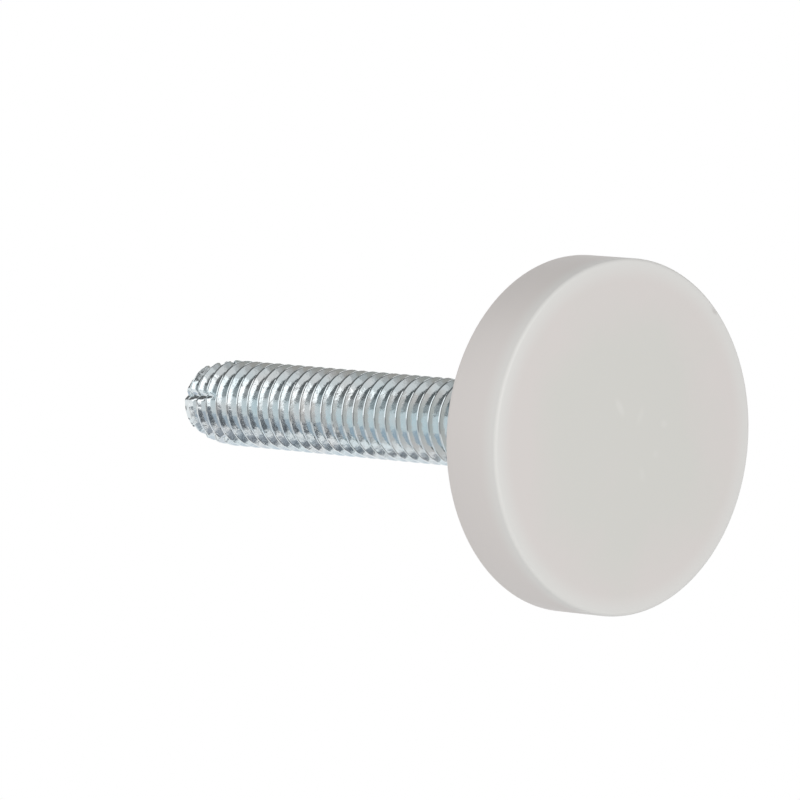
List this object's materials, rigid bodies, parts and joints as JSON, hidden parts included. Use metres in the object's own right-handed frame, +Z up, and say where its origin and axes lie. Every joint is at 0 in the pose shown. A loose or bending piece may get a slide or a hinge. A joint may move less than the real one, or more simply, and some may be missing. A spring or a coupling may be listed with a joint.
{
  "type": "appliance leveling foot",
  "caption": "Leveling foot: a fully threaded steel stud with a fluted lead-in point, moulded into a round plastic pad that stands on the floor.",
  "frame": {"origin": "centre of the sole, the flat face of the pad that stands on the floor", "axes": "+Z up along the stud, from the sole to its point; +X through the first of the point's flutes"},
  "size_m": [0.0318, 0.0318, 0.0546],
  "materials": {
    "pad_plastic": "light warm grey, moulded, satin",
    "stud_steel": "clear zinc plate, faintly blue"
  },
  "bodies": {
    "root": {"foot_pad": "pad_plastic", "threaded_stud": "stud_steel"}
  },
  "joints": []
}
